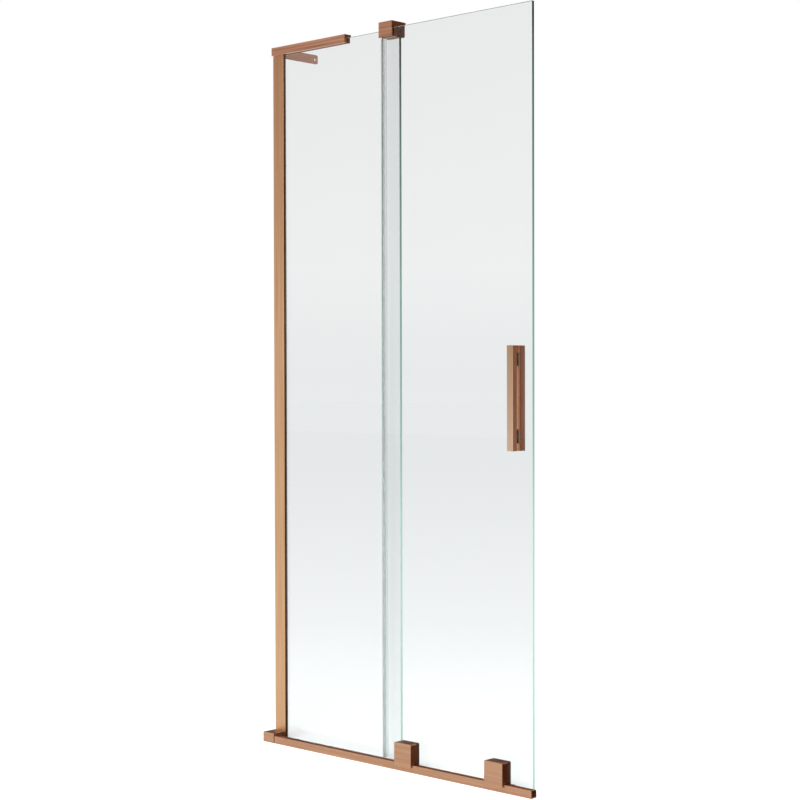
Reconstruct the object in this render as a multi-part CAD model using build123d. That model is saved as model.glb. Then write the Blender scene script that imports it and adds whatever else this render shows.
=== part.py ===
from build123d import *
import os

# Sliding bath screen. Millimetres, X from the wall along the bath, Z up from the bath rim.
# Y = 0 is the middle plane of the fixed pane, and the front (rail and carriages) is at -Y.

# Overall sizes
LENGTH = 750.0
GLASS = 6.0
ARRIS = 0.4
FIXED_TOP = 1501.5
FIXED_BOTTOM = 3.2
FIXED_X0 = 18.5
FIXED_X1 = 378.0
SLIDE_TOP = 1500.0
SLIDE_BOTTOM = 6.0
SLIDE_X0 = 341.5
SLIDE_X1 = 735.5
SLIDE_Y = -17.0
TRAVEL = 300.0
HALF = GLASS / 2
SLIDE_FRONT = SLIDE_Y - HALF
SLIDE_BACK = SLIDE_Y + HALF

# Clearances
TOUCH = 0.05
EASE = 0.3
CUT = 1.0

# Wall channel and wall profile
CHANNEL_DEPTH = 14.0
CHANNEL_HALF = 6.6
CHANNEL_WALL = 1.5
CHANNEL_TOP = 1489.5
WALL_HOLES = (100.0, 530.0, 960.0, 1390.0)
WALL_HOLE_R = 2.6
PROFILE_X0 = 5.0
PROFILE_X1 = 34.0
PROFILE_HALF = 8.5
PROFILE_TOP = 1490.1
POCKET_HALF = 4.7
LOCK_SCREWS = (160.0, 750.0, 1340.0)
LOCK_X = 9.5
LOCK_R = 1.45
REAR_LIP_X = 27.0
LIP = 0.5
LIP_LENGTH = 1.2

# Bottom rail, its track and the block at the wall
RAIL_FRONT = -42.5
RAIL_BACK = -27.5
RAIL_Y = (RAIL_FRONT + RAIL_BACK) / 2
RAIL_TOP = 15.5
RAIL_WALL = 1.5
RAIL_X0 = 35.7
RAIL_ROUND = 2.5
CAP_T = 3.0
TRACK_DEPTH = 1.2
TRACK_HALF = 3.5
TRACK_Z = RAIL_TOP - TRACK_DEPTH
FOOT_X1 = 33.5
FOOT_TOP = 20.8
FOOT_BACK = -8.9
TONGUE_X1 = 48.0
TONGUE_EASE = 1.5
JOINT_SCREW_X = 42.0
JOINT_SCREW_R = 1.9
HOLLOW_TOP = TRACK_Z - RAIL_WALL
HOLLOW_ROUND = 0.8

# Top bar and the leg along the wall
BAR_FRONT = -11.5
BAR_BACK = 7.5
BAR_BOTTOM = 1490.5
BAR_TOP = 1508.0
BAR_LENGTH = 226.0
BAR_SLOT_HALF = 4.3
BAR_SCREWS = (70.0, 180.0)
BAR_SCREW_Z = 1496.5
BAR_SCREW_R = 2.5
LEG_T = 3.0
LEG_END = 128.0
LEG_BOTTOM = 1490.0
LEG_TOP = 1510.0
LEG_HOLES = (36.0, 121.0)
LEG_SCREW_Y = -7.4
LEG_SCREW_Z = (1496.0, 1503.0)
TONGUE_Z = (1493.0, 1506.0)
LEG_HOLE_Z = (LEG_BOTTOM + LEG_TOP) / 2
LINER_ROOM = 1.3
JOINT_R = 1.6

# Clamp and guide at the top corner of the fixed pane
CLAMP_X0 = 337.5
CLAMP_X1 = 374.5
CLAMP_FRONT = -24.5
CLAMP_BACK = 17.0
CLAMP_BOTTOM = 1482.5
CLAMP_TOP = 1514.0
GUIDE_HALF = 4.6
GRIP_HALF = 4.4
CLAMP_SCREWS = (347.0, 365.0)
CLAMP_SCREW_Z = 1491.5
CLAMP_SCREW_R = 3.0
GUIDE_ROOM = 3.2

# Carriages and rollers
CARRIAGES = {"left": 419.9, "right": 658.6}
BLOCK_HALF = 22.9
BLOCK_BOTTOM = 10.0
BLOCK_TOP = 57.0
BLOCK_FRONT = -46.3
COVER_WALL = 2.2
COVER_BACK = -28.4
BODY_BACK = -20.7
BLOCK_ROUND = 3.0
SKIRT_FRONT = -26.7
OVER_RAIL = RAIL_TOP + 1.0
ROLLER_R = 12.0
ROLLER_HALF = 3.0
BEARING_R = 8.0
BEARING_HALF = 2.5
GROOVE = (9.2, 10.6)
SHIELD = (4.6, 6.6)
RECESS = 0.6
AXLE_R = 3.0
BORE_PLAY = 0.05
TRACK_PLAY = 0.1
AXLE_Z = TRACK_Z + ROLLER_R + TRACK_PLAY
HUB_R = 4.2
CHEEK_FRONT = -42.6
CHEEK_BACK = -39.2
CHEEK_HALF = 8.0
CHEEK_BOTTOM = 18.5
CHEEK_ROUND = 5.0
BRIDGE_Z = (42.0, 52.0)
AXLE_STOP = 2.4
SCREW_DEPTH = 6.5
REAR_PLATE_HALF = 11.0
REAR_PLATE_Z = (25.0, 50.0)
REAR_PLATE_T = 5.0
FIX_X = 6.5
FIX_Z = 40.0
FIX_R = 2.5
FIX_HEAD_R = 4.5
BUSH_R = 4.4
PAD_T = 0.7

# Handle
HANDLE_X0 = 683.0
HANDLE_X1 = 698.0
HANDLE_X = (HANDLE_X0 + HANDLE_X1) / 2
HANDLE_Z0 = 651.2
HANDLE_Z1 = 852.5
HANDLE_BOLTS = (679.0, 826.0)
FRONT_BAR = (-33.0, -21.0)
REAR_BAR = (-11.0, 6.5)
STUD_R = 3.0
HANDLE_HOLE_R = 6.0
PAD_REACH = 13.0
BORE_END = 2.0
REAR_BORE = 10.0

# Seals and end stops
SEAL_X0 = 340.3
SEAL_X1 = 346.0
SEAL_T = 0.9
SEAL_BOTTOM = 12.0
SEAL_TOP = 1480.0
STOP_LENGTH = 12.0
STOP_GAP = 0.8
STOP_Z = (2.0, 14.0)
STOP_BACK = -22.0
STOP_SCREW_Z = 8.0
STOP_SCREW_R = 1.85


def slab(x0, x1, y0, y1, z0, z1):
    """A rectangular block between two corners."""
    return Pos((x0 + x1) / 2, (y0 + y1) / 2, (z0 + z1) / 2) * Box(x1 - x0, y1 - y0, z1 - z0)


def rod_y(x, z, radius, y0, y1):
    """A round bar along Y."""
    return Pos(x, (y0 + y1) / 2, z) * Rot(90, 0, 0) * Cylinder(radius, y1 - y0)


def rod_x(y, z, radius, x0, x1):
    """A round bar along X."""
    return Pos((x0 + x1) / 2, y, z) * Rot(0, 90, 0) * Cylinder(radius, x1 - x0)


def upright(outline, z0, z1):
    """An outline of (x, y) points drawn up from z0 to z1."""
    face = make_face(Polyline(*[(x, y, z0) for x, y in outline], close=True))
    return extrude(face, amount=z1 - z0, dir=(0, 0, 1))


def along(outline, x0, x1):
    """An outline of (y, z) points drawn along X."""
    face = make_face(Polyline(*[(x0, y, z) for y, z in outline], close=True))
    return extrude(face, amount=x1 - x0, dir=(1, 0, 0))


def countersunk_x(y, z, radius, head_r, x0, x1):
    """A flat-head screw along +X with its head's face at x0."""
    rise = head_r - radius
    head = Pos(x0 + rise / 2, y, z) * Rot(0, 90, 0) * Cone(head_r, radius, rise)
    return head + rod_x(y, z, radius, x0 + rise / 2, x1)


def countersunk_y(x, z, radius, head_r, y0, y1):
    """A flat-head screw along Y, drawn from its head's face at y1 forward to y0."""
    rise = head_r - radius
    head = Pos(x, y1 - rise / 2, z) * Rot(-90, 0, 0) * Cone(radius, head_r, rise)
    return head + rod_y(x, z, radius, y0, y1 - rise / 2)


def pane(x0, x1, middle, z0, z1):
    """A toughened pane with a small ground arris on every edge."""
    body = slab(x0, x1, middle - HALF, middle + HALF, z0, z1)
    return chamfer(body.edges(), ARRIS)


def wall_channel():
    """U-section against the wall, drilled for four wall screws."""
    outline = [
        (0, -CHANNEL_HALF), (CHANNEL_DEPTH, -CHANNEL_HALF),
        (CHANNEL_DEPTH, CHANNEL_WALL - CHANNEL_HALF), (CHANNEL_WALL, CHANNEL_WALL - CHANNEL_HALF),
        (CHANNEL_WALL, CHANNEL_HALF - CHANNEL_WALL), (CHANNEL_DEPTH, CHANNEL_HALF - CHANNEL_WALL),
        (CHANNEL_DEPTH, CHANNEL_HALF), (0, CHANNEL_HALF),
    ]
    body = upright(outline, 0, CHANNEL_TOP)
    for z in WALL_HOLES:
        body -= rod_x(0, z, WALL_HOLE_R, -CUT, CHANNEL_WALL + CUT)
    for z in LOCK_SCREWS:
        body -= rod_y(LOCK_X, z, LOCK_R + TOUCH, 0, CHANNEL_HALF + CUT)
    return body


def wall_profile():
    """Upright extrusion: open to the wall on one side, a pocket with a short rear lip on the other."""
    web = (CHANNEL_DEPTH + 1.2, CHANNEL_DEPTH + 2.8)
    edge_round = 0.6
    neck = POCKET_HALF - LIP
    chamber_x0 = 19.0
    chamber = (5.9, 7.2)
    low = -CUT
    high = PROFILE_TOP + CUT
    body = slab(PROFILE_X0, PROFILE_X1, -PROFILE_HALF, PROFILE_HALF, 0, PROFILE_TOP)
    body = fillet(body.edges().filter_by(Axis.Z), edge_round)
    body -= slab(PROFILE_X0 - CUT, web[0], -CHANNEL_HALF - EASE, CHANNEL_HALF + EASE, low, high)
    body -= slab(web[1], PROFILE_X1 + CUT, -neck, neck, low, high)
    body -= slab(web[1], PROFILE_X1 - LIP_LENGTH, -POCKET_HALF, 0, low, high)
    body -= slab(web[1], REAR_LIP_X - LIP_LENGTH, 0, POCKET_HALF, low, high)
    body -= slab(REAR_LIP_X, PROFILE_X1 + CUT, 0, PROFILE_HALF + CUT, low, high)
    body -= slab(chamber_x0, PROFILE_X1 - 1.8, -chamber[1], -chamber[0], low, high)
    body -= slab(chamber_x0, REAR_LIP_X - 1.8, chamber[0], chamber[1], low, high)
    for z in LOCK_SCREWS:
        body -= rod_y(LOCK_X, z, LOCK_R + EASE, CHANNEL_HALF, PROFILE_HALF + CUT)
    return body


def profile_gasket(side, jaw_end):
    """Wedge gasket beside the pane, with a lip over the end of the profile's jaw."""
    inner = HALF + TOUCH
    hidden = POCKET_HALF - TOUCH
    neck = POCKET_HALF - LIP - TOUCH
    x0 = FIXED_X0 + 1.5
    step = jaw_end - LIP_LENGTH - 0.1
    over = jaw_end + 1.2
    outline = [
        (x0, inner), (over, inner), (over, hidden), (jaw_end + 0.1, neck), (step, neck),
        (step, hidden), (x0 + 1.5, hidden),
    ]
    return upright([(x, side * y) for x, y in outline], 0.5, PROFILE_TOP - EASE)


def profile_lock_screws():
    """Pan-head screws through the profile's rear wall into the channel."""
    head_r = 3.2
    head_t = 2.1
    face = PROFILE_HALF + TOUCH
    screws = []
    for z in LOCK_SCREWS:
        shank = rod_y(LOCK_X, z, LOCK_R, CHANNEL_HALF - 2.2, face)
        head = fillet(rod_y(LOCK_X, z, head_r, face, face + head_t).edges(), 0.7)
        screws.append(shank + head)
    return Compound(screws)


def fixed_glass():
    """The pane held in the wall profile."""
    return pane(FIXED_X0, FIXED_X1, 0, FIXED_BOTTOM, FIXED_TOP)


def fixed_glass_seal():
    """Soft U-strip under the fixed pane, resting on the rim."""
    inner = HALF + TOUCH
    outer = HALF + 1.1
    base = FIXED_BOTTOM - TOUCH
    side = 7.0
    tip = 7.4
    outline = [
        (-outer, 0), (outer, 0), (outer, side), (inner, tip), (inner, base),
        (-inner, base), (-inner, tip), (-outer, side),
    ]
    return along(outline, PROFILE_X1 + 2, FIXED_X1)


def top_bar():
    """Square bar with a slot underneath that sits over the pane's top edge."""
    socket_wall = 1.1
    socket = (TONGUE_Z[0] - 0.4, TONGUE_Z[1] + 0.4)
    screw_depth = 15.5
    body = slab(0, BAR_LENGTH, BAR_FRONT, BAR_BACK, BAR_BOTTOM, BAR_TOP)
    body = fillet(body.edges().filter_by(Axis.X), 0.5)
    body -= slab(
        -CUT, BAR_LENGTH + CUT, -BAR_SLOT_HALF, BAR_SLOT_HALF, BAR_BOTTOM - CUT, FIXED_TOP + LINER_ROOM,
    )
    body -= slab(-CUT, LEG_T + EASE, BAR_FRONT + socket_wall, BAR_BACK + CUT, *socket)
    for z in LEG_SCREW_Z:
        body -= rod_x(LEG_SCREW_Y, z, JOINT_R + TOUCH, 0, screw_depth)
    for x in BAR_SCREWS:
        body -= rod_y(x, BAR_SCREW_Z, BAR_SCREW_R, BAR_SLOT_HALF - CUT, BAR_BACK + CUT)
    return body


def u_liner(half, inner, low, ceiling, top, middle, x0, x1):
    """U-section liner, open below, around a pane's top edge."""
    outline = [
        (-half, low), (-inner, low), (-inner, ceiling), (inner, ceiling), (inner, low),
        (half, low), (half, top), (-half, top),
    ]
    return along([(middle + y, z) for y, z in outline], x0, x1)


def top_bar_liner():
    """Soft U-liner between the bar's slot and the pane."""
    top = FIXED_TOP + LINER_ROOM - 0.1
    return u_liner(
        BAR_SLOT_HALF - TOUCH, HALF + TOUCH, BAR_BOTTOM + 0.4, FIXED_TOP + 0.1, top, 0,
        FIXED_X0 + 1, BAR_LENGTH - 0.2,
    )


def grub_screw_y(x, z, radius, y0, y1):
    """Grub screw along Y with a hexagon socket at its +Y end."""
    body = chamfer(rod_y(x, z, radius, y0, y1).edges(), 0.3)
    socket_depth = 2.0
    socket = Pos(x, y1, z) * Rot(90, 0, 0) * extrude(RegularPolygon(radius * 0.55, 6), amount=socket_depth)
    return body - socket


def top_bar_grub_screws():
    """Screws that press the liner against the pane from behind."""
    radius = BAR_SCREW_R - TOUCH
    ends = (BAR_SLOT_HALF + TOUCH, BAR_BACK - 0.2)
    return Compound([grub_screw_y(x, BAR_SCREW_Z, radius, *ends) for x in BAR_SCREWS])


def wall_leg():
    """Plate along the wall behind the pane, with a narrower tongue let into the bar's end."""
    corner_round = 4.0
    head_r = 4.2
    body = slab(0, LEG_T, BAR_BACK + 0.4, LEG_END, LEG_BOTTOM, LEG_TOP)
    free_end = body.edges().filter_by(Axis.X).sort_by(Axis.Y)[-2:]
    body = fillet(free_end, corner_round)
    body += slab(0, LEG_T, BAR_FRONT + 1.3, BAR_BACK + CUT, *TONGUE_Z)
    for y in LEG_HOLES:
        body -= rod_x(y, LEG_HOLE_Z, WALL_HOLE_R, -CUT, LEG_T + CUT)
        rise = head_r - WALL_HOLE_R
        body -= Pos(LEG_T - rise / 2, y, LEG_HOLE_Z) * Rot(0, 90, 0) * Cone(WALL_HOLE_R, head_r, rise + 0.01)
    for z in LEG_SCREW_Z:
        body -= countersunk_x(LEG_SCREW_Y, z, JOINT_R + 0.1, JOINT_R + 1.1, -0.01, LEG_T + CUT)
    return body


def leg_joint_screws():
    """Flat-head screws from the wall side through the leg's tongue into the bar."""
    return Compound([countersunk_x(LEG_SCREW_Y, z, JOINT_R, JOINT_R + 0.9, 0.1, 14.0) for z in LEG_SCREW_Z])


def clamp_body():
    """Block with a guide slot for the sliding pane and a gripping slot for the fixed pane."""
    body = slab(CLAMP_X0, CLAMP_X1, CLAMP_FRONT, CLAMP_BACK, CLAMP_BOTTOM, CLAMP_TOP)
    lengthwise = body.edges().filter_by(Axis.X)
    rear_foot = lengthwise.sort_by(Axis.Y)[-2:].sort_by(Axis.Z)[:1]
    foot_round = 4.0
    body = fillet(rear_foot, foot_round)
    top_rim = body.faces().sort_by(Axis.Z)[-1].edges()
    body = chamfer(top_rim, 0.5)
    low = CLAMP_BOTTOM - CUT
    x0 = CLAMP_X0 - CUT
    x1 = CLAMP_X1 + CUT
    body -= slab(x0, x1, SLIDE_Y - GUIDE_HALF, SLIDE_Y + GUIDE_HALF, low, SLIDE_TOP + GUIDE_ROOM)
    body -= slab(x0, x1, -GRIP_HALF, GRIP_HALF, low, FIXED_TOP + LINER_ROOM)
    for x in CLAMP_SCREWS:
        body -= rod_y(x, CLAMP_SCREW_Z, CLAMP_SCREW_R, GRIP_HALF - CUT, CLAMP_BACK + CUT)
    return body


def clamp_guide_liner():
    """Low-friction U-liner around the sliding pane's top edge."""
    side_play = 0.4
    top_play = 1.4
    return u_liner(
        GUIDE_HALF - TOUCH, HALF + side_play, CLAMP_BOTTOM + 0.3, SLIDE_TOP + top_play,
        SLIDE_TOP + GUIDE_ROOM - 0.1, SLIDE_Y, CLAMP_X0 + 0.6, CLAMP_X1 - 0.6,
    )


def clamp_glass_pads():
    """Soft pads on both faces of the fixed pane."""
    pads = []
    z0 = CLAMP_BOTTOM + 1.5
    z1 = FIXED_TOP - 1
    for side in (-1, 1):
        near = side * (HALF + TOUCH)
        far = side * (GRIP_HALF - TOUCH)
        pads.append(slab(CLAMP_X0 + 1, CLAMP_X1 - 1.5, min(near, far), max(near, far), z0, z1))
    return Compound(pads)


def clamp_grub_screws():
    """Screws through the rear jaw that press the pad against the fixed pane."""
    radius = CLAMP_SCREW_R - TOUCH
    ends = (GRIP_HALF + TOUCH, CLAMP_BACK - 1)
    return Compound([grub_screw_y(x, CLAMP_SCREW_Z, radius, *ends) for x in CLAMP_SCREWS])


def rail_form(x0, x1):
    """A length of the rail's outer form: square front, rounded rear edges."""
    body = slab(x0, x1, RAIL_FRONT, RAIL_BACK, 0, RAIL_TOP)
    rear = body.edges().filter_by(Axis.X).sort_by(Axis.Y)[-2:]
    return fillet(rear, RAIL_ROUND)


def bottom_rail():
    """Hollow extrusion on the rim, with a shallow running track in its top."""
    x1 = LENGTH - CAP_T
    body = rail_form(RAIL_X0, x1)
    cavity = slab(
        RAIL_X0 - CUT, x1 + CUT, RAIL_FRONT + RAIL_WALL, RAIL_BACK - RAIL_WALL, RAIL_WALL, HOLLOW_TOP,
    )
    body -= fillet(cavity.edges().filter_by(Axis.X), HOLLOW_ROUND)
    body -= slab(RAIL_X0 - CUT, x1 + CUT, RAIL_Y - TRACK_HALF, RAIL_Y + TRACK_HALF, TRACK_Z, RAIL_TOP + CUT)
    body -= Pos(JOINT_SCREW_X, RAIL_Y, 1) * Cylinder(JOINT_SCREW_R + 0.2, 4)
    for x in stop_places():
        body -= rod_y(x + STOP_LENGTH / 2, STOP_SCREW_Z, STOP_SCREW_R + TOUCH, RAIL_BACK - 3, RAIL_BACK + CUT)
    return body


def rail_end_cap():
    """Cap flush with the rail's section, held by a plug in the hollow."""
    face = rail_form(LENGTH - CAP_T, LENGTH)
    face = chamfer(face.faces().sort_by(Axis.X)[-1].edges(), 0.4)
    plug_play = 0.25
    plug_length = 10.0
    slot_half = 3.0
    joint = LENGTH - CAP_T
    gap = RAIL_WALL + plug_play
    plug_top = HOLLOW_TOP - plug_play
    plug = slab(joint - plug_length, joint + 1, RAIL_FRONT + gap, RAIL_BACK - gap, gap, plug_top)
    plug = fillet(plug.edges().filter_by(Axis.X), HOLLOW_ROUND)
    slot = slab(joint - plug_length - CUT, joint, RAIL_Y - slot_half, RAIL_Y + slot_half, 0, RAIL_TOP)
    return face + (plug - slot)


def wall_foot():
    """Cast block between wall and rail, open underneath, with a tongue inside the rail."""
    wall = 3.0
    body = slab(0, FOOT_X1, RAIL_FRONT, FOOT_BACK, 0, FOOT_TOP)
    body = fillet(body.faces().sort_by(Axis.Z)[-1].edges(), 0.5)
    body -= slab(wall, FOOT_X1 - wall, RAIL_FRONT + wall, FOOT_BACK - wall, -CUT, FOOT_TOP - wall)
    inset = RAIL_WALL + TONGUE_EASE
    tongue = slab(
        FOOT_X1 - 1, TONGUE_X1, RAIL_FRONT + inset, RAIL_BACK - inset, RAIL_WALL + EASE, HOLLOW_TOP - EASE,
    )
    tongue = chamfer(tongue.faces().sort_by(Axis.X)[-1].edges(), 1.0)
    body += tongue
    body -= Pos(JOINT_SCREW_X, RAIL_Y, 4) * Cylinder(JOINT_SCREW_R + TOUCH, 8)
    return body


def rail_joint_screw():
    """Grub screw from below that locks the rail to the foot's tongue."""
    length = 7.2
    screw = chamfer(Cylinder(JOINT_SCREW_R, length).edges(), 0.3)
    return Pos(JOINT_SCREW_X, RAIL_Y, length / 2 + 0.6) * screw


def stop_places():
    """Left ends of the end stops: the open one first, then the closed one."""
    open_end = CARRIAGES["left"] - BLOCK_HALF - TRAVEL - STOP_GAP - STOP_LENGTH
    closed_end = CARRIAGES["right"] + BLOCK_HALF + STOP_GAP
    return open_end, closed_end


def rail_stop(x0):
    """Block behind the rail that a carriage's rear skirt meets."""
    body = slab(x0, x0 + STOP_LENGTH, RAIL_BACK + TOUCH, STOP_BACK, *STOP_Z)
    body = fillet(body.edges().filter_by(Axis.Y), 1.0)
    middle = x0 + STOP_LENGTH / 2
    hole_r = STOP_SCREW_R + 0.15
    body -= countersunk_y(middle, STOP_SCREW_Z, hole_r, hole_r + 2.0, RAIL_BACK - CUT, STOP_BACK + 0.01)
    return body


def rail_stop_screws():
    """Flat-head screws that hold the end stops to the rail's rear wall."""
    middles = [x + STOP_LENGTH / 2 for x in stop_places()]
    head_r = STOP_SCREW_R + 1.9
    ends = (RAIL_BACK - 2.6, STOP_BACK - 0.1)
    return Compound([countersunk_y(x, STOP_SCREW_Z, STOP_SCREW_R, head_r, *ends) for x in middles])


def sliding_glass():
    """The moving pane, drilled for the handle and the carriages."""
    body = pane(SLIDE_X0, SLIDE_X1, SLIDE_Y, SLIDE_BOTTOM, SLIDE_TOP)
    for z in HANDLE_BOLTS:
        body -= rod_y(HANDLE_X, z, HANDLE_HOLE_R, SLIDE_FRONT - 1, SLIDE_BACK + 1)
    for middle in CARRIAGES.values():
        for x in (middle - FIX_X, middle + FIX_X):
            body -= rod_y(x, FIX_Z, BUSH_R + 0.1, SLIDE_FRONT - CUT, SLIDE_BACK + CUT)
    return body


def overlap_seal():
    """Push-on seal on the pane's wall-side edge, with a curved fin toward the fixed pane."""
    front = SLIDE_FRONT - TOUCH
    back = SLIDE_BACK + TOUCH
    edge = SLIDE_X0 - TOUCH
    grip = upright([
        (SEAL_X0, front - SEAL_T), (SEAL_X1, front - SEAL_T), (SEAL_X1, front), (edge, front),
        (edge, back), (SEAL_X1, back), (SEAL_X1, back + SEAL_T), (SEAL_X0, back + SEAL_T),
    ], SEAL_BOTTOM, SEAL_TOP)
    reach = -HALF - 0.6
    root = back + SEAL_T / 2
    halfway = (root + reach) / 2
    near_x = [SEAL_X0 + x for x in (1.0, 0.9, 2.2)]
    far_x = [SEAL_X0 + x for x in (2.4, 2.0, 3.1)]
    near, far = [
        [(x, y, SEAL_BOTTOM) for x, y in zip(places, (root, halfway, reach))] for places in (near_x, far_x)
    ]
    sides = [ThreePointArc(*near), ThreePointArc(*reversed(far))]
    fin = make_face([sides[0], Line(near[2], far[2]), sides[1], Line(far[0], near[0])])
    return grip + extrude(fin, amount=SEAL_TOP - SEAL_BOTTOM, dir=(0, 0, 1))


def drip_seal():
    """Push-on strip under the sliding pane with a blade down to the rim."""
    inner = HALF + TOUCH
    outer = inner + 0.8
    base = SLIDE_BOTTOM - TOUCH
    under = 4.7
    tip = 0.8
    leg = 9.0
    outline = [
        (-outer, under), (-0.5, under), (-0.35, tip), (0.35, tip), (0.5, under), (outer, under),
        (outer, leg), (inner, leg), (inner, base), (-inner, base), (-inner, leg), (-outer, leg),
    ]
    shifted = [(SLIDE_Y + y, z) for y, z in outline]
    return along(shifted, SEAL_X1 + 1, SLIDE_X1)


def handle_bar(y0, y1, stud_end):
    """One of the two grip bars, with two blind holes on the glass side."""
    body = slab(HANDLE_X0, HANDLE_X1, y0, y1, HANDLE_Z0, HANDLE_Z1)
    body = fillet(body.edges(), 0.6)
    for z in HANDLE_BOLTS:
        body -= rod_y(HANDLE_X, z, STUD_R + TOUCH, min(stud_end, SLIDE_Y), max(stud_end, SLIDE_Y))
    return body


def handle_pads():
    """Soft pads between the bars and the glass, at each stud."""
    pads = []
    spans = ((FRONT_BAR[1] + TOUCH, SLIDE_FRONT - TOUCH), (SLIDE_BACK + TOUCH, REAR_BAR[0] - TOUCH))
    for z in HANDLE_BOLTS:
        for y0, y1 in spans:
            pad = slab(HANDLE_X0 + 0.8, HANDLE_X1 - 0.8, y0, y1, z - PAD_REACH, z + PAD_REACH)
            pad = fillet(pad.edges().filter_by(Axis.Y), 2.0)
            pads.append(pad - rod_y(HANDLE_X, z, STUD_R + 0.2, y0 - 1, y1 + 1))
    return Compound(pads)


def handle_bushes():
    """Sleeves that keep the studs off the glass."""
    bushes = []
    for z in HANDLE_BOLTS:
        sleeve = rod_y(HANDLE_X, z, HANDLE_HOLE_R - 0.1, SLIDE_FRONT + 0.1, SLIDE_BACK - 0.1)
        bushes.append(sleeve - rod_y(HANDLE_X, z, STUD_R + 0.1, SLIDE_FRONT - 1, SLIDE_BACK + 1))
    return Compound(bushes)


def handle_studs():
    """Threaded studs that draw the two bars together through the glass."""
    ends = (FRONT_BAR[0] + BORE_END + 0.4, REAR_BAR[0] + REAR_BORE - 0.6)
    return Compound([chamfer(rod_y(HANDLE_X, z, STUD_R, *ends).edges(), 0.4) for z in HANDLE_BOLTS])


def block_form(middle, y0, y1, inset, z0):
    """The carriage's outer form between two depths, with rounded top corners."""
    body = slab(middle - BLOCK_HALF + inset, middle + BLOCK_HALF - inset, y0, y1, z0, BLOCK_TOP - inset)
    upper = body.edges().filter_by(Axis.Y).sort_by(Axis.Z)[-2:]
    return fillet(upper, BLOCK_ROUND - inset * 0.8)


def carriage_cover(middle):
    """Housing over the roller: open behind and below, its front skirt hangs over the rail."""
    body = block_form(middle, BLOCK_FRONT, COVER_BACK, 0, BLOCK_BOTTOM)
    body = fillet(body.faces().sort_by(Axis.Y)[0].edges(), 0.5)
    inner_front = BLOCK_FRONT + COVER_WALL
    body -= block_form(middle, inner_front, COVER_BACK + 1, COVER_WALL, BLOCK_BOTTOM - 1)
    body -= slab(
        middle - BLOCK_HALF - 1, middle + BLOCK_HALF + 1, inner_front, COVER_BACK + 1,
        BLOCK_BOTTOM - 1, OVER_RAIL,
    )
    return body


def carriage_body(middle):
    """Inner body: rear block with a skirt behind the rail, and a fork that holds the axle."""
    rear_front = COVER_BACK + TOUCH
    body = block_form(middle, rear_front, BODY_BACK, 0, BLOCK_BOTTOM)
    body -= slab(
        middle - BLOCK_HALF - 1, middle + BLOCK_HALF + 1, rear_front - 1, SKIRT_FRONT,
        BLOCK_BOTTOM - 1, OVER_RAIL,
    )
    x0 = middle - CHEEK_HALF
    x1 = middle + CHEEK_HALF
    body += slab(x0, x1, CHEEK_FRONT, rear_front + 1, *BRIDGE_Z)
    cheek = slab(x0, x1, CHEEK_FRONT, CHEEK_BACK, CHEEK_BOTTOM, BRIDGE_Z[0] + 2)
    foot_corners = cheek.edges().filter_by(Axis.Y).sort_by(Axis.Z)[:2]
    body += fillet(foot_corners, CHEEK_ROUND)
    body += rod_y(middle, AXLE_Z, HUB_R, CHEEK_BACK - 1, RAIL_Y - BEARING_HALF - EASE)
    body += rod_y(middle, AXLE_Z, HUB_R, RAIL_Y + BEARING_HALF + EASE, rear_front + 1)
    body -= rod_y(middle, AXLE_Z, AXLE_R + TOUCH, CHEEK_FRONT - CUT, BODY_BACK - AXLE_STOP)
    for x in (middle - FIX_X, middle + FIX_X):
        body -= rod_y(x, FIX_Z, FIX_R + TOUCH, BODY_BACK - SCREW_DEPTH, BODY_BACK + CUT)
    return body


def carriage_axles():
    """Plain steel pins through the carriages' forks."""
    ends = (CHEEK_FRONT + 0.3, BODY_BACK - AXLE_STOP - 0.2)
    return Compound([
        chamfer(rod_y(middle, AXLE_Z, AXLE_R, *ends).edges(), 0.4) for middle in CARRIAGES.values()
    ])


def carriage_glides():
    """Thin slip strips on both skirts, facing the rail's front and rear."""
    strips = []
    reach = BLOCK_HALF - 4.5
    inner_front = BLOCK_FRONT + COVER_WALL
    for middle in CARRIAGES.values():
        for y0, y1 in ((inner_front + TOUCH, RAIL_FRONT - 0.35), (RAIL_BACK + 0.35, SKIRT_FRONT - TOUCH)):
            strips.append(slab(middle - reach, middle + reach, y0, y1, BLOCK_BOTTOM + 0.6, RAIL_TOP - 0.4))
    return Compound(strips)


def carriage_pad(middle, half, z0, z1, y0, y1):
    """Soft pad against the glass with the two screws' clearance holes."""
    pad = slab(middle - half, middle + half, y0, y1, z0, z1)
    pad = fillet(pad.edges().filter_by(Axis.Y), 1.5)
    for x in (middle - FIX_X, middle + FIX_X):
        pad -= rod_y(x, FIX_Z, FIX_R + 0.2, y0 - 1, y1 + 1)
    return pad


def carriage_glass_pads():
    """Pads on both faces of the sliding pane at each carriage."""
    pads = []
    z0, z1 = REAR_PLATE_Z
    for middle in CARRIAGES.values():
        pads.append(carriage_pad(
            middle, BLOCK_HALF - 1, BLOCK_BOTTOM + 1, BLOCK_TOP - 1, BODY_BACK + TOUCH, SLIDE_FRONT - TOUCH,
        ))
        pads.append(carriage_pad(
            middle, REAR_PLATE_HALF, z0, z1, SLIDE_BACK + TOUCH, SLIDE_BACK + PAD_T,
        ))
    return Compound(pads)


def carriage_bushes():
    """Sleeves in the glass around the carriages' screws."""
    bushes = []
    for middle in CARRIAGES.values():
        for x in (middle - FIX_X, middle + FIX_X):
            sleeve = rod_y(x, FIX_Z, BUSH_R, SLIDE_FRONT + 0.1, SLIDE_BACK - 0.1)
            bushes.append(sleeve - rod_y(x, FIX_Z, FIX_R + 0.1, SLIDE_FRONT - 1, SLIDE_BACK + 1))
    return Compound(bushes)


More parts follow.
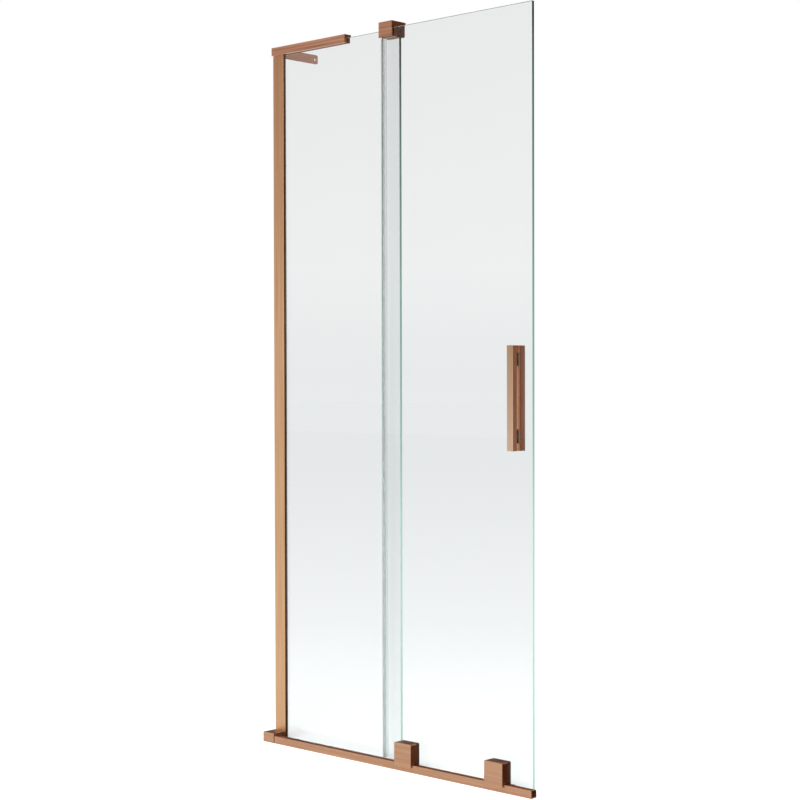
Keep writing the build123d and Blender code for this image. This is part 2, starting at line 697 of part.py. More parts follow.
def carriage_rear_plates():
    """Plates behind the glass that the carriages' screws pull against."""
    plates = []
    y0 = SLIDE_BACK + PAD_T + TOUCH
    y1 = y0 + REAR_PLATE_T
    z0, z1 = REAR_PLATE_Z
    for middle in CARRIAGES.values():
        plate = slab(middle - REAR_PLATE_HALF, middle + REAR_PLATE_HALF, y0, y1, z0, z1)
        plate = fillet(plate.edges().filter_by(Axis.Y), 2.0)
        plate = chamfer(plate.faces().sort_by(Axis.Y)[-1].edges(), 0.5)
        for x in (middle - FIX_X, middle + FIX_X):
            plate -= countersunk_y(x, FIX_Z, FIX_R + 0.1, FIX_HEAD_R + 0.2, y0 - CUT, y1 + 0.01)
        plates.append(plate)
    return Compound(plates)


def carriage_screws():
    """Flat-head screws through rear plate and glass into the carriage bodies."""
    screws = []
    y1 = SLIDE_BACK + PAD_T + TOUCH + REAR_PLATE_T
    for middle in CARRIAGES.values():
        for x in (middle - FIX_X, middle + FIX_X):
            screws.append(countersunk_y(x, FIX_Z, FIX_R, FIX_HEAD_R, BODY_BACK - SCREW_DEPTH + 0.5, y1 - 0.1))
    return Compound(screws)


def roller_tyre(middle):
    """Crowned running ring around the bearing, with a shallow recess in each side."""
    shoulder = ROLLER_R - 0.5
    rim_in = (BEARING_R, -ROLLER_HALF, 0)
    rim_out = (shoulder, -ROLLER_HALF, 0)
    far_out = (shoulder, ROLLER_HALF, 0)
    far_in = (BEARING_R, ROLLER_HALF, 0)
    crown = ThreePointArc(rim_out, (ROLLER_R, 0, 0), far_out)
    section = make_face([Line(rim_in, rim_out), crown, Line(far_out, far_in), Line(far_in, rim_in)])
    ring = revolve(section, Axis.Y)
    for side in (-1, 1):
        groove = Cylinder(GROOVE[1], 2 * RECESS) - Cylinder(GROOVE[0], 2 * RECESS)
        ring -= Pos(0, side * ROLLER_HALF, 0) * Rot(90, 0, 0) * groove
    return Pos(middle, RAIL_Y, AXLE_Z) * ring


def roller_bearing(middle):
    """Ball bearing as one turned ring, its shields set back on both sides."""
    body = Cylinder(BEARING_R - TOUCH, 2 * BEARING_HALF) - Cylinder(AXLE_R + BORE_PLAY, 2 * BEARING_HALF)
    for side in (-1, 1):
        shield = Cylinder(SHIELD[1], RECESS) - Cylinder(SHIELD[0], RECESS)
        body -= Pos(0, 0, side * BEARING_HALF) * shield
    return Pos(middle, RAIL_Y, AXLE_Z) * Rot(90, 0, 0) * body


def nodes():
    """Every named piece of the screen."""
    stop_open, stop_closed = stop_places()
    parts = {
        "wall_channel": wall_channel(),
        "wall_profile": wall_profile(),
        "profile_gasket_front": profile_gasket(-1, PROFILE_X1),
        "profile_gasket_rear": profile_gasket(1, REAR_LIP_X),
        "profile_lock_screws": profile_lock_screws(),
        "fixed_glass": fixed_glass(),
        "fixed_glass_seal": fixed_glass_seal(),
        "top_bar": top_bar(),
        "top_bar_liner": top_bar_liner(),
        "top_bar_grub_screws": top_bar_grub_screws(),
        "wall_leg": wall_leg(),
        "leg_joint_screws": leg_joint_screws(),
        "clamp_body": clamp_body(),
        "clamp_guide_liner": clamp_guide_liner(),
        "clamp_glass_pads": clamp_glass_pads(),
        "clamp_grub_screws": clamp_grub_screws(),
        "bottom_rail": bottom_rail(),
        "rail_end_cap": rail_end_cap(),
        "wall_foot": wall_foot(),
        "rail_joint_screw": rail_joint_screw(),
        "rail_stop_open": rail_stop(stop_open),
        "rail_stop_closed": rail_stop(stop_closed),
        "rail_stop_screws": rail_stop_screws(),
        "sliding_glass": sliding_glass(),
        "overlap_seal": overlap_seal(),
        "drip_seal": drip_seal(),
        "handle_front_bar": handle_bar(*FRONT_BAR, FRONT_BAR[0] + BORE_END),
        "handle_rear_bar": handle_bar(*REAR_BAR, REAR_BAR[0] + REAR_BORE),
        "handle_pads": handle_pads(),
        "handle_bushes": handle_bushes(),
        "handle_studs": handle_studs(),
        "carriage_axles": carriage_axles(),
        "carriage_glides": carriage_glides(),
        "carriage_glass_pads": carriage_glass_pads(),
        "carriage_bushes": carriage_bushes(),
        "carriage_rear_plates": carriage_rear_plates(),
        "carriage_screws": carriage_screws(),
    }
    for side, middle in CARRIAGES.items():
        parts[f"carriage_cover_{side}"] = carriage_cover(middle)
        parts[f"carriage_body_{side}"] = carriage_body(middle)
        parts[f"roller_tyre_{side}"] = roller_tyre(middle)
        parts[f"roller_bearing_{side}"] = roller_bearing(middle)
    return parts


os.makedirs("parts", exist_ok=True)
for name, shape in nodes().items():
    export_step(shape, f"parts/{name}.step")
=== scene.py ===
import math

import bpy
import numpy as np
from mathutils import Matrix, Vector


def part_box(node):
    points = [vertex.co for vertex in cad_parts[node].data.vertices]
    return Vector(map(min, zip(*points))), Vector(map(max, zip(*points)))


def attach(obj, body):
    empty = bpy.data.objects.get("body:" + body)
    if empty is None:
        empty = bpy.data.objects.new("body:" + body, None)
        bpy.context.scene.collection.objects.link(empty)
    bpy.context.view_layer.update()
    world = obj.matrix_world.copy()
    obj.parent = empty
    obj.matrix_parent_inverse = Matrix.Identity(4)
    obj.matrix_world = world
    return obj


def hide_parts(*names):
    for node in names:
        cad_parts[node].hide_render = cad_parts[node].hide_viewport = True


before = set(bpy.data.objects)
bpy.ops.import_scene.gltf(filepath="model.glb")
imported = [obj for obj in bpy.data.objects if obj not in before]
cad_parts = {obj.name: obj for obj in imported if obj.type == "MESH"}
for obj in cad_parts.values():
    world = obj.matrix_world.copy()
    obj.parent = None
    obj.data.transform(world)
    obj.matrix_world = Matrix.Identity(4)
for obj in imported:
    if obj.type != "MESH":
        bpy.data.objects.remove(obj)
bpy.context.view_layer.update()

# Wall channel and wall profile. Two aluminium extrusions, one screwed to the wall and one slid over
# it, brushed along their length and anodised in copper. The profile's slot holds the fixed pane.
MM = 0.001


def linear(code):
    """A colour written as sRGB hex, as the linear red, green, blue and alpha that a shader takes."""
    parts = [int(code[i:i + 2], 16) / 255 for i in (0, 2, 4)]
    return [c / 12.92 if c <= 0.04045 else ((c + 0.055) / 1.055) ** 2.4 for c in parts] + [1.0]


def add(tree, kind, inputs=(), **settings):
    """One node with its settings and its inputs, a list in the node's own order or a dict by name or number.

    An input is a plain value, or another node's output, which is linked.
    """
    node = tree.nodes.new(kind)
    for name, value in settings.items():
        setattr(node, name, value)
    for key, value in inputs.items() if isinstance(inputs, dict) else enumerate(inputs):
        if isinstance(value, bpy.types.NodeSocket):
            tree.links.new(value, node.inputs[key])
        else:
            node.inputs[key].default_value = value
    return node


def new_material(name):
    """An empty material with its output node."""
    material = bpy.data.materials.new(name)
    material.use_nodes = True
    tree = material.node_tree
    tree.nodes.clear()
    return material, tree, tree.nodes.new("ShaderNodeOutputMaterial")


def grain(tree, size, detail=3.0):
    """Noise in object space whose lumps measure size (x, y, z) in millimetres."""
    place = add(tree, "ShaderNodeTexCoord").outputs["Object"]
    scale = [1 / (s * MM) for s in size]
    shaped = add(tree, "ShaderNodeMapping", {"Vector": place, "Scale": scale}).outputs["Vector"]
    return add(tree, "ShaderNodeTexNoise", {"Vector": shaped, "Scale": 1.0, "Detail": detail}).outputs["Fac"]


def brushed_copper(name, along, light, dark, painted_side_shade=None, bright_side=0, fade=None):
    """Copper-anodised aluminium, brushed along one axis: fine streaks, broader tone bands and a soft shine.

    The other three are fitted to how the pieces look in the photograph, and they paint light and shade
    into the colour. The other three are fitted to how the pieces look in the photograph, and their causes
    are guesses. The first, a deeper colour for faces toward +X and up, is a painted shade.
    bright_side is 1 or -1 for a piece whose face toward +Y or -Y gets a painted highlight in a paler colour,
    with a lower roughness read as polish.
    fade gives a piece a painted shade, deeper at its upper end: two heights and the tint at the upper one.
    """
    # Real brushing is 0.1 mm wide; its streaks are drawn 0.8 mm wide, or the picture wouldn't show them.
    streak = [0.8, 0.8, 0.8]
    band = [6.0, 6.0, 6.0]
    axis = "xyz".index(along)
    streak[axis] = 90.0
    band[axis] = 260.0
    material, tree, out = new_material(name)
    fine = grain(tree, streak)
    broad = grain(tree, band, 1.0)
    both = add(tree, "ShaderNodeMath", [fine, broad], operation="ADD").outputs[0]
    tone = add(tree, "ShaderNodeMapRange", [both, 0.75, 1.25]).outputs[0]
    tones = {0: tone, 6: linear(dark), 7: linear(light)}
    colour = add(tree, "ShaderNodeMix", tones, data_type="RGBA").outputs[2]
    dull = add(tree, "ShaderNodeMapRange", [fine, 0.3, 0.7, 0.42, 0.30]).outputs[0]
    relief = add(tree, "ShaderNodeBump", {"Height": fine, "Strength": 0.35, "Distance": 0.05 * MM}).outputs[0]
    coords = add(tree, "ShaderNodeTexCoord").outputs
    facing = add(tree, "ShaderNodeSeparateXYZ", [coords["Normal"]]).outputs
    # Painted shade: from the lower height up, the colour deepens toward the tint at the upper one.
    if fade:
        lower, upper, tint = fade
        up = add(tree, "ShaderNodeSeparateXYZ", [coords["Object"]]).outputs["Z"]
        rise = add(tree, "ShaderNodeMapRange", [up, lower, upper]).outputs[0]
        tones = {0: rise, 6: linear("ffffff"), 7: linear(tint)}
        shade = add(tree, "ShaderNodeMix", tones, data_type="RGBA").outputs[2]
        colour = add(tree, "ShaderNodeVectorMath", [colour, shade], operation="MULTIPLY").outputs[0]
    # Painted shade: faces toward +X and up take a deeper colour.
    if painted_side_shade:
        shaded_facing = add(tree, "ShaderNodeMath", [facing["X"], facing["Z"]], operation="MAXIMUM").outputs[0]
        shaded_facing = add(tree, "ShaderNodeMapRange", [shaded_facing, 0.6, 0.9]).outputs[0]
        tones = {0: shaded_facing, 6: colour, 7: linear(painted_side_shade)}
        colour = add(tree, "ShaderNodeMix", tones, data_type="RGBA").outputs[2]
    # Painted highlight: the face toward +Y or -Y takes a paler colour; its lower roughness is read as polish.
    if bright_side:
        turned = [facing["Y"], 0.5 * bright_side, 0.9 * bright_side]
        sheen_and_polish = add(tree, "ShaderNodeMapRange", turned).outputs[0]
        tones = {0: sheen_and_polish, 6: colour, 7: linear("ecc9b5")}
        colour = add(tree, "ShaderNodeMix", tones, data_type="RGBA").outputs[2]
        kept = add(tree, "ShaderNodeMapRange", [sheen_and_polish, 0.0, 1.0, 1.0, 0.2]).outputs[0]
        dull = add(tree, "ShaderNodeMath", [dull, kept], operation="MULTIPLY").outputs[0]
    look = {"Base Color": colour, "Roughness": dull, "Normal": relief, "Metallic": 1.0}
    shader = add(tree, "ShaderNodeBsdfPrincipled", look).outputs[0]
    tree.links.new(shader, out.inputs["Surface"])
    return material


def dress(material, *names):
    """Gives CAD nodes a material in all their slots."""
    for name in names:
        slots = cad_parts[name].data.materials
        for i in range(len(slots)):
            slots[i] = material


# Painted shade: the uprights' faces toward +X and up are drawn in a deep brown.
upright_copper = brushed_copper(
    "copper_anodised_aluminium_brushed_upright", "z", "e2b68c", "cea27a", painted_side_shade="6f4621",
)
dress(upright_copper, "wall_channel", "wall_profile")

# Glazing gaskets and lock screws. Soft grey wedges pressed in on both sides of the fixed pane, dull
# with a dusty bloom; three pan-head stainless screws lock the profile from behind.
LOCK_SHANK_R = 1.45 * MM
LOCK_HEAD_R = 3.2 * MM
LOCK_HEAD_T = 2.1 * MM
LOCK_CROWN = 0.7 * MM


def moulded(name, base, bloom, lump, smooth, rough):
    """Rubber or plastic from a mould or die: an even colour with a faint bloom and a fine matt skin.

    lump is the size of the skin's pits in millimetres; the bloom's clouds are eight times as large.
    """
    material, tree, out = new_material(name)
    cloud = grain(tree, [lump * 8] * 3)
    skin = grain(tree, [lump] * 3, 2.0)
    cloud = add(tree, "ShaderNodeMapRange", [cloud, 0.35, 0.7]).outputs[0]
    tones = {0: cloud, 6: linear(base), 7: linear(bloom)}
    colour = add(tree, "ShaderNodeMix", tones, data_type="RGBA").outputs[2]
    dull = add(tree, "ShaderNodeMapRange", [skin, 0.3, 0.7, smooth, rough]).outputs[0]
    relief = add(tree, "ShaderNodeBump", {"Height": skin, "Strength": 0.3, "Distance": 0.05 * MM}).outputs[0]
    look = {"Base Color": colour, "Roughness": dull, "Normal": relief, "IOR": 1.5}
    shader = add(tree, "ShaderNodeBsdfPrincipled", look).outputs[0]
    tree.links.new(shader, out.inputs["Surface"])
    return material


def stainless(name):
    """Stainless steel, turned: grey with a soft shine and faint tool marks, drawn 0.5 mm wide."""
    material, tree, out = new_material(name)
    marks = grain(tree, [0.5, 0.5, 0.5])
    tones = {0: marks, 6: linear("a9a8a6"), 7: linear("cfcecb")}
    colour = add(tree, "ShaderNodeMix", tones, data_type="RGBA").outputs[2]
    dull = add(tree, "ShaderNodeMapRange", [marks, 0.3, 0.7, 0.24, 0.36]).outputs[0]
    look = {"Base Color": colour, "Roughness": dull, "Metallic": 1.0}
    shader = add(tree, "ShaderNodeBsdfPrincipled", look).outputs[0]
    tree.links.new(shader, out.inputs["Surface"])
    return material


def socket_screws(node, body, spots, shank_r, head_t, rim_r, rim_drop):
    """Screws with hexagon sockets in place of a node's plain ones, with their heads toward +Y.

    With u round the axis and v along the outline a point is (x + r sin u, y(v), z + r cos u), where
    r = radius(v) (1 - six(v) + six(v) cos 30 / cos(u mod 60 - 30)). six is 0 on round stretches and 1
    in the socket. spots holds the x and z of the axes, head_t is the height of the head, and rim_r and
    rim_drop are the radii of the rim's points and how far they lie below the head's face.
    """
    socket_r = 1.45 * MM
    socket_depth = 1.3 * MM
    around = 48
    start, face = (corner[1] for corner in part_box(node))
    radius = np.concatenate(([shank_r, shank_r], rim_r, [socket_r, socket_r]))
    y = np.concatenate(([start, face - head_t], face - rim_drop, [face, face - socket_depth]))
    six = np.zeros(len(y))
    six[-2:] = 1.0
    u = np.arange(around) * 2 * math.pi / around
    hexagon = math.cos(math.pi / 6) / np.cos(u % (math.pi / 3) - math.pi / 6)
    r = radius[:, None] * (1 + six[:, None] * (hexagon - 1))
    one = np.stack((r * np.sin(u), np.broadcast_to(y[:, None], r.shape), r * np.cos(u)), axis=2)
    one = one.reshape(-1, 3)
    points = np.concatenate([one + (x, 0, z) for x, z in spots])

    ring = np.arange(around)
    after = (ring + 1) % around
    row = np.arange(len(y) - 1)[:, None] * around
    sides = np.stack((row + ring, row + after, row + around + after, row + around + ring), axis=2)
    end_ring = ring[::-1]
    socket_floor = ring + (len(y) - 1) * around
    faces = []
    for first in range(0, len(points), len(one)):
        faces += (sides.reshape(-1, 4) + first).tolist()
        faces += [(end_ring + first).tolist(), (socket_floor + first).tolist()]

    name = node + "_with_sockets"
    mesh = bpy.data.meshes.new(name)
    mesh.from_pydata(points.tolist(), [], faces)
    mesh.shade_smooth()
    mesh.set_sharp_from_angle(angle=math.radians(30))
    mesh.materials.append(steel)
    piece = bpy.data.objects.new(name, mesh)
    bpy.context.scene.collection.objects.link(piece)
    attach(piece, body)
    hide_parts(node)


grey_tpe = moulded("thermoplastic_rubber_grey_extruded", "6a5f58", "7b716a", 0.6, 0.55, 0.72)
steel = stainless("stainless_steel_turned")
dress(grey_tpe, "profile_gasket_front", "profile_gasket_rear")

low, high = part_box("profile_lock_screws")
lock_heights = np.linspace(low[2] + LOCK_HEAD_R, high[2] - LOCK_HEAD_R, 3)
turn = np.linspace(0.0, math.pi / 2, 5)
socket_screws(
    "profile_lock_screws", "fixed_frame", [((low[0] + high[0]) / 2, z) for z in lock_heights],
    LOCK_SHANK_R, LOCK_HEAD_T,
    np.append(LOCK_HEAD_R, LOCK_HEAD_R - LOCK_CROWN * (1 - np.cos(turn))),
    np.append(LOCK_HEAD_T, LOCK_CROWN * (1 - np.sin(turn))),
)

# The fixed pane. 6 mm toughened soda-lime glass with ground edges: the faces are clear with a cool
# tint, and the edges, where light comes out after a long way inside, are green.
GLASS_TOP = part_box("fixed_glass")[1][2]
HOLE_REACH = 0.012
handle_low, handle_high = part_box("handle_front_bar")
handle_middle = [(a + b) / 2 for a, b in zip(handle_low, handle_high)]
handle_half = (handle_high[2] - handle_low[2]) / 2


def toughened_glass(name):
    """Soda-lime float glass: clear faces that mirror a little, satin green edges with painted light and shade
    by height, and hole walls in a painted shade.
    """
    material, tree, out = new_material(name)
    coords = add(tree, "ShaderNodeTexCoord").outputs
    facing = add(tree, "ShaderNodeSeparateXYZ", [coords["Normal"]]).outputs
    place = add(tree, "ShaderNodeSeparateXYZ", [coords["Object"]]).outputs
    flat = add(tree, "ShaderNodeMath", [facing["Y"]], operation="ABSOLUTE").outputs[0]
    is_edge = add(tree, "ShaderNodeMath", [flat, 0.85], operation="LESS_THAN").outputs[0]
    level = add(tree, "ShaderNodeMath", [facing["Z"]], operation="ABSOLUTE").outputs[0]
    is_level = add(tree, "ShaderNodeMath", [level, 0.5], operation="GREATER_THAN").outputs[0]

    # Painted light and shade, following the photograph: the edge runs from mint at the bottom
    # to near black at the top.
    height = add(tree, "ShaderNodeMapRange", [place["Z"], 0.0, GLASS_TOP]).outputs[0]
    ramp = add(tree, "ShaderNodeValToRGB", [height])
    elements = ramp.color_ramp.elements
    elements[0].color = linear("c4ebe0")
    elements[1].color = linear("0c241b")
    for position, code in (
        (0.20, "cdeee4"), (0.33, "c0e4d8"), (0.48, "97bdb0"), (0.62, "86ab9e"), (0.78, "668b80"),
        (0.92, "4a675e"), (0.975, "16352a"),
    ):
        elements.new(position).color = linear(code)
    tones = {0: is_level, 6: ramp.outputs["Color"], 7: linear("a9b8b4")}
    tint = add(tree, "ShaderNodeMix", tones, data_type="RGBA").outputs[2]

    # Drilled holes for the handle: their ground walls lie between dark pads and get a painted shade of dark
    # brown.
    ends = [coords["Object"], handle_middle]
    away = add(tree, "ShaderNodeVectorMath", ends, operation="DISTANCE").outputs["Value"]
    by_handle = add(tree, "ShaderNodeMath", [away, handle_half], operation="LESS_THAN").outputs[0]
    off_axis = add(tree, "ShaderNodeMath", [place["X"], handle_middle[0]], operation="SUBTRACT").outputs[0]
    off_axis = add(tree, "ShaderNodeMath", [off_axis], operation="ABSOLUTE").outputs[0]
    in_hole = add(tree, "ShaderNodeMath", [off_axis, HOLE_REACH], operation="LESS_THAN").outputs[0]
    in_hole = add(tree, "ShaderNodeMath", [in_hole, by_handle], operation="MULTIPLY").outputs[0]
    tones = {0: in_hole, 6: tint, 7: linear("4a2c20")}
    tint = add(tree, "ShaderNodeMix", tones, data_type="RGBA").outputs[2]
    ground = grain(tree, [0.8, 0.8, 14.0])
    dull = add(tree, "ShaderNodeMapRange", [ground, 0.3, 0.7, 0.22, 0.38]).outputs[0]
    look = {"Base Color": tint, "Roughness": dull, "IOR": 1.52}
    edge = add(tree, "ShaderNodeBsdfPrincipled", look).outputs[0]

    look = {"Base Color": linear("f0f3f3"), "Roughness": 0.0, "IOR": 1.52, "Transmission Weight": 1.0}
    clear = add(tree, "ShaderNodeBsdfPrincipled", look).outputs[0]
    through = add(tree, "ShaderNodeBsdfTransparent", [linear("f2f5f4")]).outputs[0]
    lamp_ray = add(tree, "ShaderNodeLightPath").outputs["Is Shadow Ray"]
    faces = add(tree, "ShaderNodeMixShader", [lamp_ray, clear, through]).outputs[0]
    whole = add(tree, "ShaderNodeMixShader", [is_edge, faces, edge]).outputs[0]
    tree.links.new(whole, out.inputs["Surface"])
    return material


glass = toughened_glass("soda_lime_float_glass_toughened")
dress(glass, "fixed_glass")

# Seal strip under the fixed pane. Clear plasticised PVC, extruded and pushed on by hand: milky, with
# a soft shine.


def clear_pvc(name):
    """Clear soft PVC: most light passes straight, the rest is blurred by a skin that is wavy from the die."""
    material, tree, out = new_material(name)
    wave = grain(tree, [1.5, 1.5, 40.0])
    dull = add(tree, "ShaderNodeMapRange", [wave, 0.3, 0.7, 0.28, 0.42]).outputs[0]
    relief = add(tree, "ShaderNodeBump", {"Height": wave, "Strength": 0.2, "Distance": 0.05 * MM}).outputs[0]
    look = {
        "Base Color": linear("f2f4f4"), "Roughness": dull, "Normal": relief, "IOR": 1.53,
        "Transmission Weight": 0.9,
    }
    blurred = add(tree, "ShaderNodeBsdfPrincipled", look).outputs[0]
    through = add(tree, "ShaderNodeBsdfTransparent", [linear("fafbfb")]).outputs[0]
    lamp_ray = add(tree, "ShaderNodeLightPath").outputs["Is Shadow Ray"]
    straight = add(tree, "ShaderNodeMath", [lamp_ray, 0.75], operation="MAXIMUM").outputs[0]
    whole = add(tree, "ShaderNodeMixShader", [straight, blurred, through]).outputs[0]
    tree.links.new(whole, out.inputs["Surface"])
    return material


seal_pvc = clear_pvc("pvc_soft_clear_extruded")
dress(seal_pvc, "fixed_glass_seal")

# Top bar, its liner and its screws. A square aluminium bar with a slot that sits over the pane,
# brushed along its length; the photograph shows it a shade redder than the uprights.
# Painted shade: the bar's and clamp's faces toward +X and up are drawn in a deeper copper.
bar_copper = brushed_copper(
    "copper_anodised_aluminium_brushed_bar", "x", "f6c29f", "bf9276", painted_side_shade="be8254",
)
epdm = moulded("epdm_rubber_extruded", "3a3432", "4c4643", 0.6, 0.62, 0.78)
dress(bar_copper, "top_bar")
dress(epdm, "top_bar_liner")
dress(steel, "top_bar_grub_screws", "leg_joint_screws")

# Wall leg. A flat plate along the wall behind the pane, cut from strip, with two countersunk holes;
# in the photograph it is a dull copper rose with no brushing, read as a powder coat.
rose_coat = moulded("powder_coat_copper_rose_on_steel", "ab806c", "b58a77", 0.4, 0.40, 0.55)
dress(rose_coat, "wall_leg")

# Clamp at the top corner of the fixed pane. A milled block with a slot for each pane, a slippery
# brown-black acetal liner in the front slot and rubber pads in the rear one.
dark_acetal = moulded("acetal_black_moulded", "2a1d18", "3a2b24", 0.5, 0.34, 0.46)
dress(bar_copper, "clamp_body")
dress(dark_acetal, "clamp_guide_liner")
dress(epdm, "clamp_glass_pads")
dress(steel, "clamp_grub_screws")

# Bottom rail, end cap, wall block and end stops. A hollow extrusion on the bath rim with a running
# track in its top; the block in the wall's corner is cast, and the nylon stops are screwed on from
# behind with countersunk screws.
STOP_FLARE = 1.9 * MM
LEVEL_TONES = ("d3a585", "c19476")
level_copper = brushed_copper("copper_anodised_aluminium_brushed_level", "x", *LEVEL_TONES)
# Painted shade: the rail's faces toward +X and up are drawn in a deeper copper.
rail_copper = brushed_copper("copper_anodised_aluminium_brushed_rail", "x", *LEVEL_TONES, painted_side_shade="b67852")
nylon = moulded("nylon_brown_black_moulded", "4d2f22", "5b3a2b", 0.5, 0.42, 0.58)
dress(rail_copper, "bottom_rail")
dress(level_copper, "rail_end_cap", "wall_foot")
dress(nylon, "rail_stop_open", "rail_stop_closed")
dress(steel, "rail_joint_screw")

low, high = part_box("rail_stop_screws")
stop_head_r = (high[2] - low[2]) / 2
socket_screws(
    "rail_stop_screws", "fixed_frame",
    [(x, low[2] + stop_head_r) for x in (low[0] + stop_head_r, high[0] - stop_head_r)],
    stop_head_r - STOP_FLARE, STOP_FLARE, [stop_head_r], np.zeros(1),
)

# The sliding pane with its seals. The same glass as the fixed pane, a push-on strip on its wall-side
# edge and a wiper below.
dress(glass, "sliding_glass")
dress(seal_pvc, "overlap_seal", "drip_seal")

# Handle. Two aluminium bars clamped on the pane by studs, on thin rubber pads, brushed along their
# length. As in the photograph, a painted shade deepens their faces toward +X and up and their upper end;
# where they face each other a painted highlight makes them paler, with a lower roughness read as polish.
HANDLE_TONES = ("dabca3", "ceae95")
HANDLE_FADE = (0.67, 0.845, "dcd7c9")
front_copper = brushed_copper(
    "copper_anodised_handle_front", "z", *HANDLE_TONES, painted_side_shade="dda47d", bright_side=1, fade=HANDLE_FADE,
)
rear_copper = brushed_copper(
    "copper_anodised_handle_rear", "z", *HANDLE_TONES, painted_side_shade="cf8b5c", bright_side=-1, fade=HANDLE_FADE,
)
acetal = moulded("acetal_white_moulded", "dcdbd6", "e8e7e2", 0.5, 0.34, 0.46)
dress(front_copper, "handle_front_bar")
dress(rear_copper, "handle_rear_bar")
dress(epdm, "handle_pads")
dress(acetal, "handle_bushes")
dress(steel, "handle_studs")

# Carriages and rollers. A folded copper cover hides a dark nylon body that holds the axle; countersunk
# screws pass through a rear plate and the glass into that body. The tyres and glides are white acetal.
FIX_FLARE = 2.0 * MM
FIX_OFFSETS = (-6.5 * MM, 6.5 * MM)
dress(rail_copper, "carriage_cover_left", "carriage_cover_right")
dress(level_copper, "carriage_rear_plates")
dress(nylon, "carriage_body_left", "carriage_body_right")
dress(acetal, "carriage_glides", "carriage_bushes", "roller_tyre_left", "roller_tyre_right")
dress(epdm, "carriage_glass_pads")
dress(steel, "carriage_axles", "roller_bearing_left", "roller_bearing_right")

low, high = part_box("carriage_screws")
fix_head_r = (high[2] - low[2]) / 2
covers = [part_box("carriage_cover_" + side) for side in ("left", "right")]
middles = [(cover[0][0] + cover[1][0]) / 2 for cover in covers]
socket_screws(
    "carriage_screws", "sliding_panel",
    [(middle + off, low[2] + fix_head_r) for middle in middles for off in FIX_OFFSETS],
    fix_head_r - FIX_FLARE, FIX_FLARE, [fix_head_r], np.zeros(1),
)

# The studio. A pale floor at the height of the rim, white all round, and a large soft lamp at the
# front. Dark cards, seen only in reflections, shade the metal's far sides as a photographer's flags do.
FLOOR_HALF = 30.0


def flat_piece(name, corners):
    """A four-cornered sheet."""
    mesh = bpy.data.meshes.new(name)
    mesh.from_pydata(corners, [], [(0, 1, 2, 3)])
    piece = bpy.data.objects.new(name, mesh)
    bpy.context.scene.collection.objects.link(piece)
    return piece


def lying(x0, x1, y0, y1, z):
    """The corners of a level sheet."""
    return [(x0, y0, z), (x1, y0, z), (x1, y1, z), (x0, y1, z)]


def standing(start, end, z0, z1):
    """The corners of an upright sheet over the line from start to end."""
    return [(*start, z0), (*end, z0), (*end, z1), (*start, z1)]


def shows_plainly(tree, in_gloss, in_glass):
    """One to the camera, in_gloss off a shiny surface, in_glass through a clear pane, zero for light."""
    path = add(tree, "ShaderNodeLightPath").outputs
    gloss = add(tree, "ShaderNodeMath", [path["Is Glossy Ray"], in_gloss], operation="MULTIPLY").outputs[0]
    seen = add(tree, "ShaderNodeMath", [path["Is Camera Ray"], gloss], operation="MAXIMUM").outputs[0]
    # A clear pane's rays count as glossy too, so their own value takes the place of the other one.
    return add(tree, "ShaderNodeMix", {0: path["Is Transmission Ray"], 2: seen, 3: in_glass}).outputs[0]


floor = flat_piece("floor", lying(-FLOOR_HALF, FLOOR_HALF, -FLOOR_HALF, FLOOR_HALF, 0))
floor_material, tree, out = new_material("floor_white_paint")
place = add(tree, "ShaderNodeTexCoord").outputs["Object"]
reach = add(tree, "ShaderNodeVectorMath", [place], operation="LENGTH").outputs["Value"]
# The lift that keeps the floor white to the camera falls off with the distance from the wall's foot;
# through the panes a smaller one is seen, so they look as pale a grey as in the photograph.
lift = add(tree, "ShaderNodeMapRange", [reach, 0.8, 4.5, 0.55, 0.36]).outputs[0]
pane_lift = add(tree, "ShaderNodeMapRange", [reach, 0.6, 1.8, 0.29, 0.235]).outputs[0]
pane_share = add(tree, "ShaderNodeMath", [pane_lift, lift], operation="DIVIDE").outputs[0]
shown = shows_plainly(tree, 0.15, pane_share)
glow = add(tree, "ShaderNodeMath", [lift, shown], operation="MULTIPLY").outputs[0]
paint = add(tree, "ShaderNodeBsdfDiffuse", [linear("e6e6e6")]).outputs[0]
gleam = add(tree, "ShaderNodeEmission", {"Strength": glow}).outputs[0]
tree.links.new(add(tree, "ShaderNodeAddShader", [paint, gleam]).outputs[0], out.inputs["Surface"])
floor.data.materials.append(floor_material)
floor_material.cycles.emission_sampling = "NONE"

world = bpy.data.worlds.new("studio_white")
bpy.context.scene.world = world
world.use_nodes = True
world.cycles.sampling_method = "NONE"
tree = world.node_tree
tree.nodes.clear()
out = tree.nodes.new("ShaderNodeOutputWorld")
soft = add(tree, "ShaderNodeBackground", [linear("ffffff"), 0.85]).outputs[0]
plain = add(tree, "ShaderNodeBackground", [linear("ffffff"), 1.0]).outputs[0]
# Through the panes the white falls off a little toward the horizon, so it meets the floor evenly.
direction = add(tree, "ShaderNodeTexCoord").outputs["Generated"]
up = add(tree, "ShaderNodeSeparateXYZ", [direction]).outputs["Z"]
pane_share = add(tree, "ShaderNodeMapRange", [up, 0.0, 0.06, 0.45, 1.0]).outputs[0]
shown = shows_plainly(tree, 1.0, pane_share)
white = add(tree, "ShaderNodeMixShader", [shown, soft, plain]).outputs[0]
tree.links.new(white, out.inputs["Surface"])


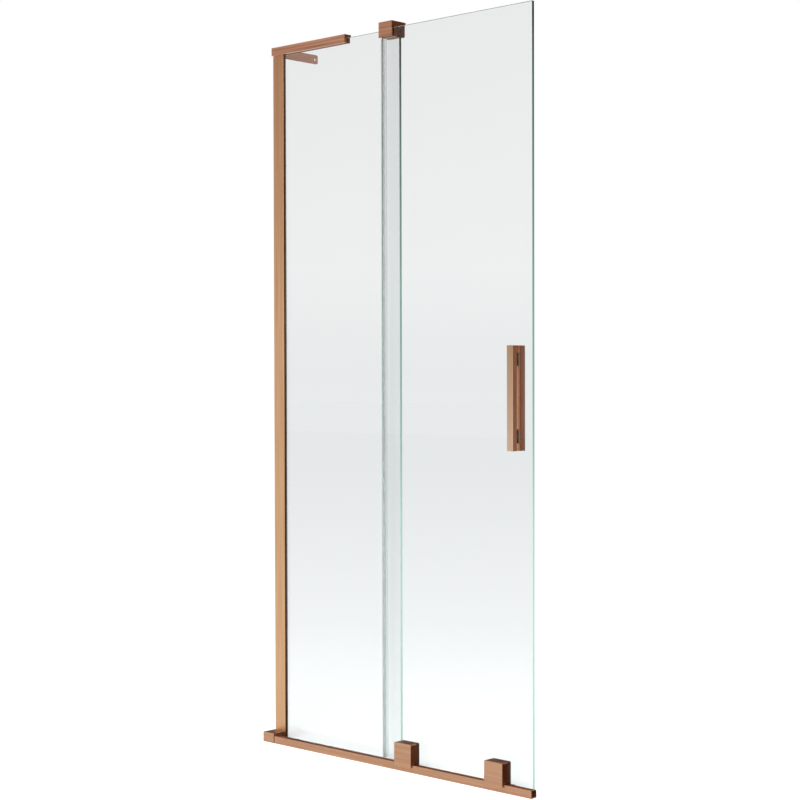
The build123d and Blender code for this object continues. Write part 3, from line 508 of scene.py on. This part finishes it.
def card(name, corners, foot, head=None, rise=(0.0, 1.0)):
    """A studio card seen only in gloss, with one colour or two that blend between the heights in rise."""
    piece = flat_piece(name, corners)
    material, tree, out = new_material(name)
    place = add(tree, "ShaderNodeTexCoord").outputs["Object"]
    up = add(tree, "ShaderNodeSeparateXYZ", [place]).outputs["Z"]
    share = add(tree, "ShaderNodeMapRange", [up, *rise]).outputs[0]
    tones = {0: share, 6: linear(foot), 7: linear(head or foot)}
    colour = add(tree, "ShaderNodeMix", tones, data_type="RGBA").outputs[2]
    shade = add(tree, "ShaderNodeEmission", [colour]).outputs[0]
    nothing = add(tree, "ShaderNodeBsdfTransparent").outputs[0]
    mirrored = add(tree, "ShaderNodeLightPath").outputs["Glossy Depth"]
    whole = add(tree, "ShaderNodeMixShader", [mirrored, nothing, shade]).outputs[0]
    tree.links.new(whole, out.inputs["Surface"])
    piece.data.materials.append(material)
    material.cycles.emission_sampling = "NONE"
    piece.visible_camera = False
    piece.visible_diffuse = False
    piece.visible_shadow = False


# Upright cards stand round the right, the back and the left, one stands at the front left, and two
# lie just above the floor, behind the screen and beyond the rail's end.
RIGHT_FRONT = (4.0, 0.3)
RIGHT_BACK = (4.0, 4.0)
BACK_RIGHT = (1.0, 5.0)
BACK_LEFT = (-7.5, 5.0)
LEFT_FRONT = (-7.5, 0.8)
CARD_LIFT = 0.8 * MM
card("card_right", standing(RIGHT_FRONT, RIGHT_BACK, 0.0, 1.2), "3a140a", "935d50", (0.1, 0.6))
card("card_right_high", standing(RIGHT_FRONT, RIGHT_BACK, 1.2, 5.0), "935d50", "4f2f22", (1.2, 2.2))
card("card_behind_right", standing(RIGHT_BACK, BACK_RIGHT, 0.0, 4.0), "5a3c2e")
card("card_behind_left", standing(BACK_RIGHT, BACK_LEFT, 0.9, 8.0), "1c0f0a")
card("card_left", standing(BACK_LEFT, LEFT_FRONT, 0.3, 8.0), "1c0f0a")
card("card_floor", lying(-0.6, 2.6, -0.02, 2.6, CARD_LIFT), "3a140a")
card("card_floor_right", lying(0.752, 1.1, -0.3, -0.02, CARD_LIFT), "3a140a")
card("card_front_left", standing((-8.0, -3.6), (-1.0, -3.6), 0.5, 6.0), "ffffff", "957670", (0.6, 2.6))

lamp_data = bpy.data.lights.new("soft_lamp", "AREA")
lamp_data.shape = "SQUARE"
lamp_data.size = 3.0
lamp_data.energy = 140.0
lamp = bpy.data.objects.new("soft_lamp", lamp_data)
lamp.location = (1.8, -4.2, 3.6)
lamp.rotation_euler = (math.radians(56), 0, math.radians(22))
bpy.context.scene.collection.objects.link(lamp)

# The camera, at the photograph's place. 36 mm wide sensor, level but for one degree down.
camera_data = bpy.data.cameras.new("camera")
camera_data.sensor_width = 36.0
camera_data.lens = 77.150
camera = bpy.data.objects.new("camera", camera_data)
camera.location = (2.77745, -2.53759, 0.79972)
camera.rotation_euler = (math.radians(90 - 0.892), math.radians(0.136), math.radians(43.466))
bpy.context.scene.collection.objects.link(camera)
bpy.context.scene.camera = camera
bpy.context.scene.view_settings.view_transform = "Standard"
